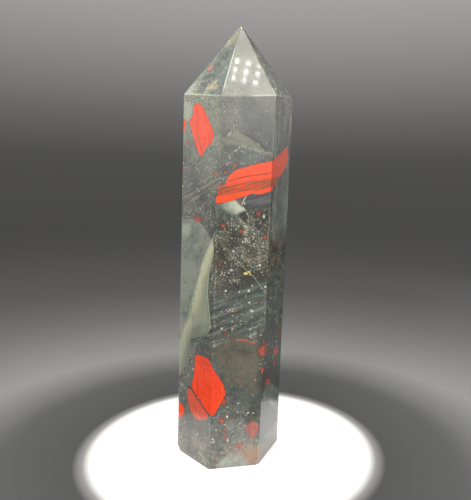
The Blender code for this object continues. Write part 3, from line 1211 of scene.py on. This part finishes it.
    def vividReds(self):
        faces = self.faces
        slab = faces.nearest("slab front")
        vivid = faces.nearest(
            "upper red", "upper red splinter", "diamond", "left half round", "slab right", "back slab",
            "back shard", "back foot red", "back right chip"
        )
        beds = self.layers("slab beds", self.mm)
        inSlab = slab.least(faces.nearest("slab right")).spread(0.2, -0.2)
        streaky = self.upright * 0.5 + self.grain * 0.5
        colour = self.two("red", streaky.spread(0.36, 0.62))
        colour = self.over(colour, self.grain.other(2).spread(0.56, 0.78, 0, 0.25), "redFleck")
        colour = self.over(colour, faces.rise("deeper red", 0, 0.3), "deepRed")
        colour = self.over(colour, inSlab, self.two("slabRed", beds.spread(0.35, 0.6)))
        striae = beds.spread(0.56, 0.66) * (inSlab - faces.on["right"] * inSlab * 0.6)
        colour = self.over(colour, striae * 0.55, "striae")
        lower = faces.belt("stain", "front", self.recipe["slabTilt"])
        stained = (beds + self.dust * 0.25).spread(0.54, 0.64)
        colour = self.over(colour, stained * lower * inSlab * 0.85, "stain")
        allRed = vivid.least(slab)
        self.notRed = allRed.spread(0.1, 0.4)
        self.lay(allRed.spread(0.5, 0.05, 0, 0.5), "rim")
        self.lay(allRed.spread(0.12, -0.14), colour)

    def lines(self):
        for name, (colour, share) in self.recipe["threads"].items():
            self.lay(self.faces.thread(threads[name]).spread(0.22, -0.05, 0, share), colour)

    def wearAndEdgeHighlights(self):
        # paler edges: wear in places on the column, and painted highlights along the front's shoulder, the
        # point's ridge and the top of the front's right edge
        faces = self.faces
        worn = self.bench.node("Attribute", {"attribute_name": "edge"}, {}, "Fac")
        patchy = self.dust.spread(0.5, 0.62, 0.1, 0.4) * self.broad.spread(0.42, 0.58, 0.4, 1.0)
        across = faces.across["front"]
        # painted highlights on the shoulder, the ridge and the top of the right edge
        shoulder = faces.rise("shoulder") * faces.rise("shoulder top")
        shoulder = shoulder * across.spread(0, 6) * across.spread(15, 14)
        ridge = faces.across["frontEdge"].size().spread(5, 3.5)
        ridge = ridge * faces.rise("ridge") * faces.rise("ridge top")
        slope, start = self.recipe["rightEdge"]
        rightEdge = (across - faces.height * slope - start).size().spread(1.4, 0.7)
        rightEdge = rightEdge * faces.rise("right edge")
        patchy = patchy * faces.rise("edges at the point", 1.0, 0.5)
        patchy = patchy.most(faces.rise("edges", 0, 0.17))
        patchy = patchy.most(shoulder * 0.8).most(ridge * 0.8).most(rightEdge * 0.5)
        self.lay(worn * self.notRed * patchy, "worn")


def makeJasper(recipe, facets):
    material = bpy.data.materials.new("bloodJasper")
    material.use_nodes = True
    tree = material.node_tree
    shader = tree.nodes["Principled BSDF"]
    bench = NodeBench(tree)
    rock = Rock(bench, recipe, facets)
    rock.ground()
    rock.upperFaces()
    rock.darker()
    rock.bands()
    rock.striations()
    rock.quiet()
    rock.tint()
    rock.specks()
    rock.trails()
    rock.pale()
    rock.dullReds()
    rock.vividReds()
    rock.lines()
    rock.wearAndEdgeHighlights()

    broken = bench.node("Attribute", {"attribute_name": "broken"}, {}, "Fac")
    rock.lay(broken * 0.35, "broken")
    faces = rock.faces
    gloss = rock.grain.spread(0.3, 0.7, *recipe["roughness"])
    gloss = gloss - faces.on["pointFront"].most(faces.on["right"]) * recipe["extraPolish"]
    gloss = gloss.most(broken * recipe["brokenRoughness"])
    ripple = rock.noise("ripple", rock.mm) * faces.rise("ripple", 1.0, 0.3)
    bump = bench.node("Bump", {}, recipe["ripple"] | {"Height": ripple}, "Normal")

    tree.links.new(rock.colour.socket, shader.inputs["Base Color"])
    tree.links.new(gloss.socket, shader.inputs["Roughness"])
    tree.links.new(bump.socket, shader.inputs["Normal"])
    shader.inputs["IOR"].default_value = recipe["ior"]
    print("jasper mixed,", len(tree.nodes), "nodes")
    return material


# floor, light and camera

studio = {
    "floorSize": 24.0,
    "floorRoughness": 0.55,
    # the floor's colour by the distance from the stone in metres, up to the last one: a painted pool of
    # light round the stone, a darker floor beyond, and a painted paler band of light further out
    "floorReach": 1.2,
    "floorPaintedLight": [
        (0.050, paint(234, 231, 229)),
        (0.066, paint(222, 219, 217)),
        (0.0715, paint(52, 52, 52)),
        (0.11, paint(66, 66, 66)),
        (0.155, paint(128, 127, 125)),
        (0.40, paint(94, 93, 93)),
        (1.2, paint(84, 84, 84)),
    ],
    # a glow in the floor under the stone, which lifts its shadow
    "floorGlow": [(0.028, 0.22), (0.045, 0.07), (0.066, 0.0)],
    # how bright it is all round, by the sine of the elevation
    "backdrop": [
        (0.0, 0.072),
        (0.05, 0.08),
        (0.12, 0.135),
        (0.20, 0.23),
        (0.28, 0.33),
        (0.36, 0.42),
        (0.46, 0.40),
        (0.62, 0.30),
        (1.0, 0.16),
    ],
    "backdropTint": (1.0, 0.985, 0.965),
    "aim": (0, 0, 0.1),
    # azimuth, elevation, distance, width, height, watts, spread in degrees, and how far up a light
    # fades in, as a share of its height
    "lights": {
        "key": (250, 40, 0.8, 0.5, 0.5, 0.85, 60, 0),
        "overhead": (-51, 74, 0.75, 0.26, 0.26, 0.19, 80, 0),
        "down": (0, 90, 1.1, 0.12, 0.12, 0.30, 25, 0),
        "front": (292, 13.2, 0.94, 0.7, 0.6, 4.2, 180, 0.5),
        "frontLeft": (231, 13, 0.9, 0.5, 0.4, 0.8, 180, 0.8),
        "left": (170, 7.6, 0.6, 0.3, 0.34, 0.40, 180, 0.6),
        "right": (50, 7.6, 0.6, 0.3, 0.34, 0.20, 180, 0.8),
        "topLeft": (148, 44, 0.8, 0.4, 0.4, 0.6, 180, 0),
        "edge": (300, 47, 0.9, 0.3, 0.03, 0.9, 180, 0),
    },
    "tints": {"overhead": (1.0, 0.985, 0.88)},
    # small bright points from above: columns and rows, how far apart, how big, watts of each
    "points": (3, 3, 0.0155, 0.0205, 0.009, 0.0024),
    "pointsTurn": 55,
    "pointsAim": (0.00264, -0.01145, 0.18047),
    "pointsWay": (305.65, 73.34, 0.75),
}

view = {
    "place": (0.01719, -0.2502, 0.1288),
    "pitchDown": 0.1220,
    "roll": 0.0203,
    "focal": 530,  # this and the next two in px
    "longSide": 500,
    "offAxis": -35,
    "sensor": 36.0,
}


def addLight(name, place, way, shape, size, watts, spread, fade=0):
    bpy.ops.object.light_add(type="AREA", location=place)
    light = bpy.context.object
    light.name = name
    light.rotation_euler = way.to_track_quat("Z", "Y").to_euler()
    light.visible_camera = False
    light.data.shape = shape
    light.data.size = size[0]
    light.data.size_y = size[1]
    light.data.energy = watts
    light.data.spread = math.radians(spread)
    if fade:
        light.data.use_nodes = True
        bench = NodeBench(light.data.node_tree)
        spot = bench.node("NewGeometry", {}, {}, "Parametric")
        share = bench.node("SeparateXYZ", {}, {0: spot}, "Y").spread(0, fade)
        emission = light.data.node_tree.nodes["Emission"]
        light.data.node_tree.links.new(share.socket, emission.inputs["Strength"])


def makeFloor(stage):
    bpy.ops.object.select_all(action="DESELECT")
    bpy.ops.mesh.primitive_plane_add(size=stage["floorSize"], location=(0, 0, 0))
    floor = bpy.context.object
    floor.name = "floor"
    material = bpy.data.materials.new("floorPaintedPool")
    material.use_nodes = True
    shader = material.node_tree.nodes["Principled BSDF"]
    bench = NodeBench(material.node_tree)
    # the floor's colour is a painted pool of light round the stone, darker further out, with a painted
    # paler band beyond
    away = bench.node("TexCoord", {}, {}, "Object").length() * (1 / stage["floorReach"])
    stops = [(reach / stage["floorReach"], shade) for reach, shade in stage["floorPaintedLight"]]
    shade = bench.ramp(stops, away)
    material.node_tree.links.new(shade.socket, shader.inputs["Base Color"])
    stops = [(reach / stage["floorReach"], (glow, glow, glow, 1.0)) for reach, glow in stage["floorGlow"]]
    glow = bench.ramp(stops, away)
    material.node_tree.links.new(glow.socket, shader.inputs["Emission Color"])
    shader.inputs["Emission Strength"].default_value = 1.0
    shader.inputs["Roughness"].default_value = stage["floorRoughness"]
    floor.data.materials.append(material)


def makeBackdrop(stage):
    world = bpy.data.worlds.new("backdrop")
    bpy.context.scene.world = world
    world.use_nodes = True
    bench = NodeBench(world.node_tree)
    way = bench.node("TexCoord", {}, {}, "Generated")
    rise = bench.node("SeparateXYZ", {}, {0: way}, "Z")
    red, green, blue = stage["backdropTint"]
    stops = [(s, (level * red, level * green, level * blue, 1.0)) for s, level in stage["backdrop"]]
    sky = bench.ramp(stops, rise)
    world.node_tree.links.new(sky.socket, world.node_tree.nodes["Background"].inputs["Color"])


def makeLights(stage):
    aim = Vector(stage["aim"])
    for name, (azimuth, elevation, distance, width, height, watts, spread, fade) in stage["lights"].items():
        way = towards(azimuth, elevation)
        addLight(name, aim + way * distance, way, "RECTANGLE", (width, height), watts, spread, fade)
        bpy.context.object.data.color = stage["tints"].get(name, (1, 1, 1))
    azimuth, elevation, distance = stage["pointsWay"]
    way = towards(azimuth, elevation)
    aim = Vector(stage["pointsAim"])
    along = towards(azimuth + stage["pointsTurn"], 0)
    across = towards(azimuth + stage["pointsTurn"] + 90, 0)
    columns, rows, columnGap, rowGap, size, watts = stage["points"]
    for column in range(columns):
        for row in range(rows):
            place = aim + way * distance
            place += across * columnGap * (column - (columns - 1) / 2)
            place += along * rowGap * (row - (rows - 1) / 2)
            addLight(f"point{column}{row}", place, way, "DISK", (size, size), watts, 180)
    print("stage lit")


def makeCamera(shot):
    data = bpy.data.cameras.new("camera")
    camera = bpy.data.objects.new("camera", data)
    bpy.context.scene.collection.objects.link(camera)
    camera.location = shot["place"]
    camera.rotation_mode = "ZYX"
    camera.rotation_euler = (math.pi / 2 - shot["pitchDown"], 0, shot["roll"])
    data.sensor_width = shot["sensor"]
    data.lens = shot["focal"] / shot["longSide"] * shot["sensor"]
    data.shift_x = shot["offAxis"] / shot["longSide"]
    data.clip_start = 0.01
    data.clip_end = 100
    bpy.context.scene.camera = camera


tower, facets = makeTower(towerShape)
tower.data.materials.clear()
tower.data.materials.append(makeJasper(jasper, facets))
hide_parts("jasper_tower")
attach(tower, "root")
makeFloor(studio)
makeBackdrop(studio)
makeLights(studio)
makeCamera(view)
bpy.context.scene.view_settings.view_transform = "Standard"
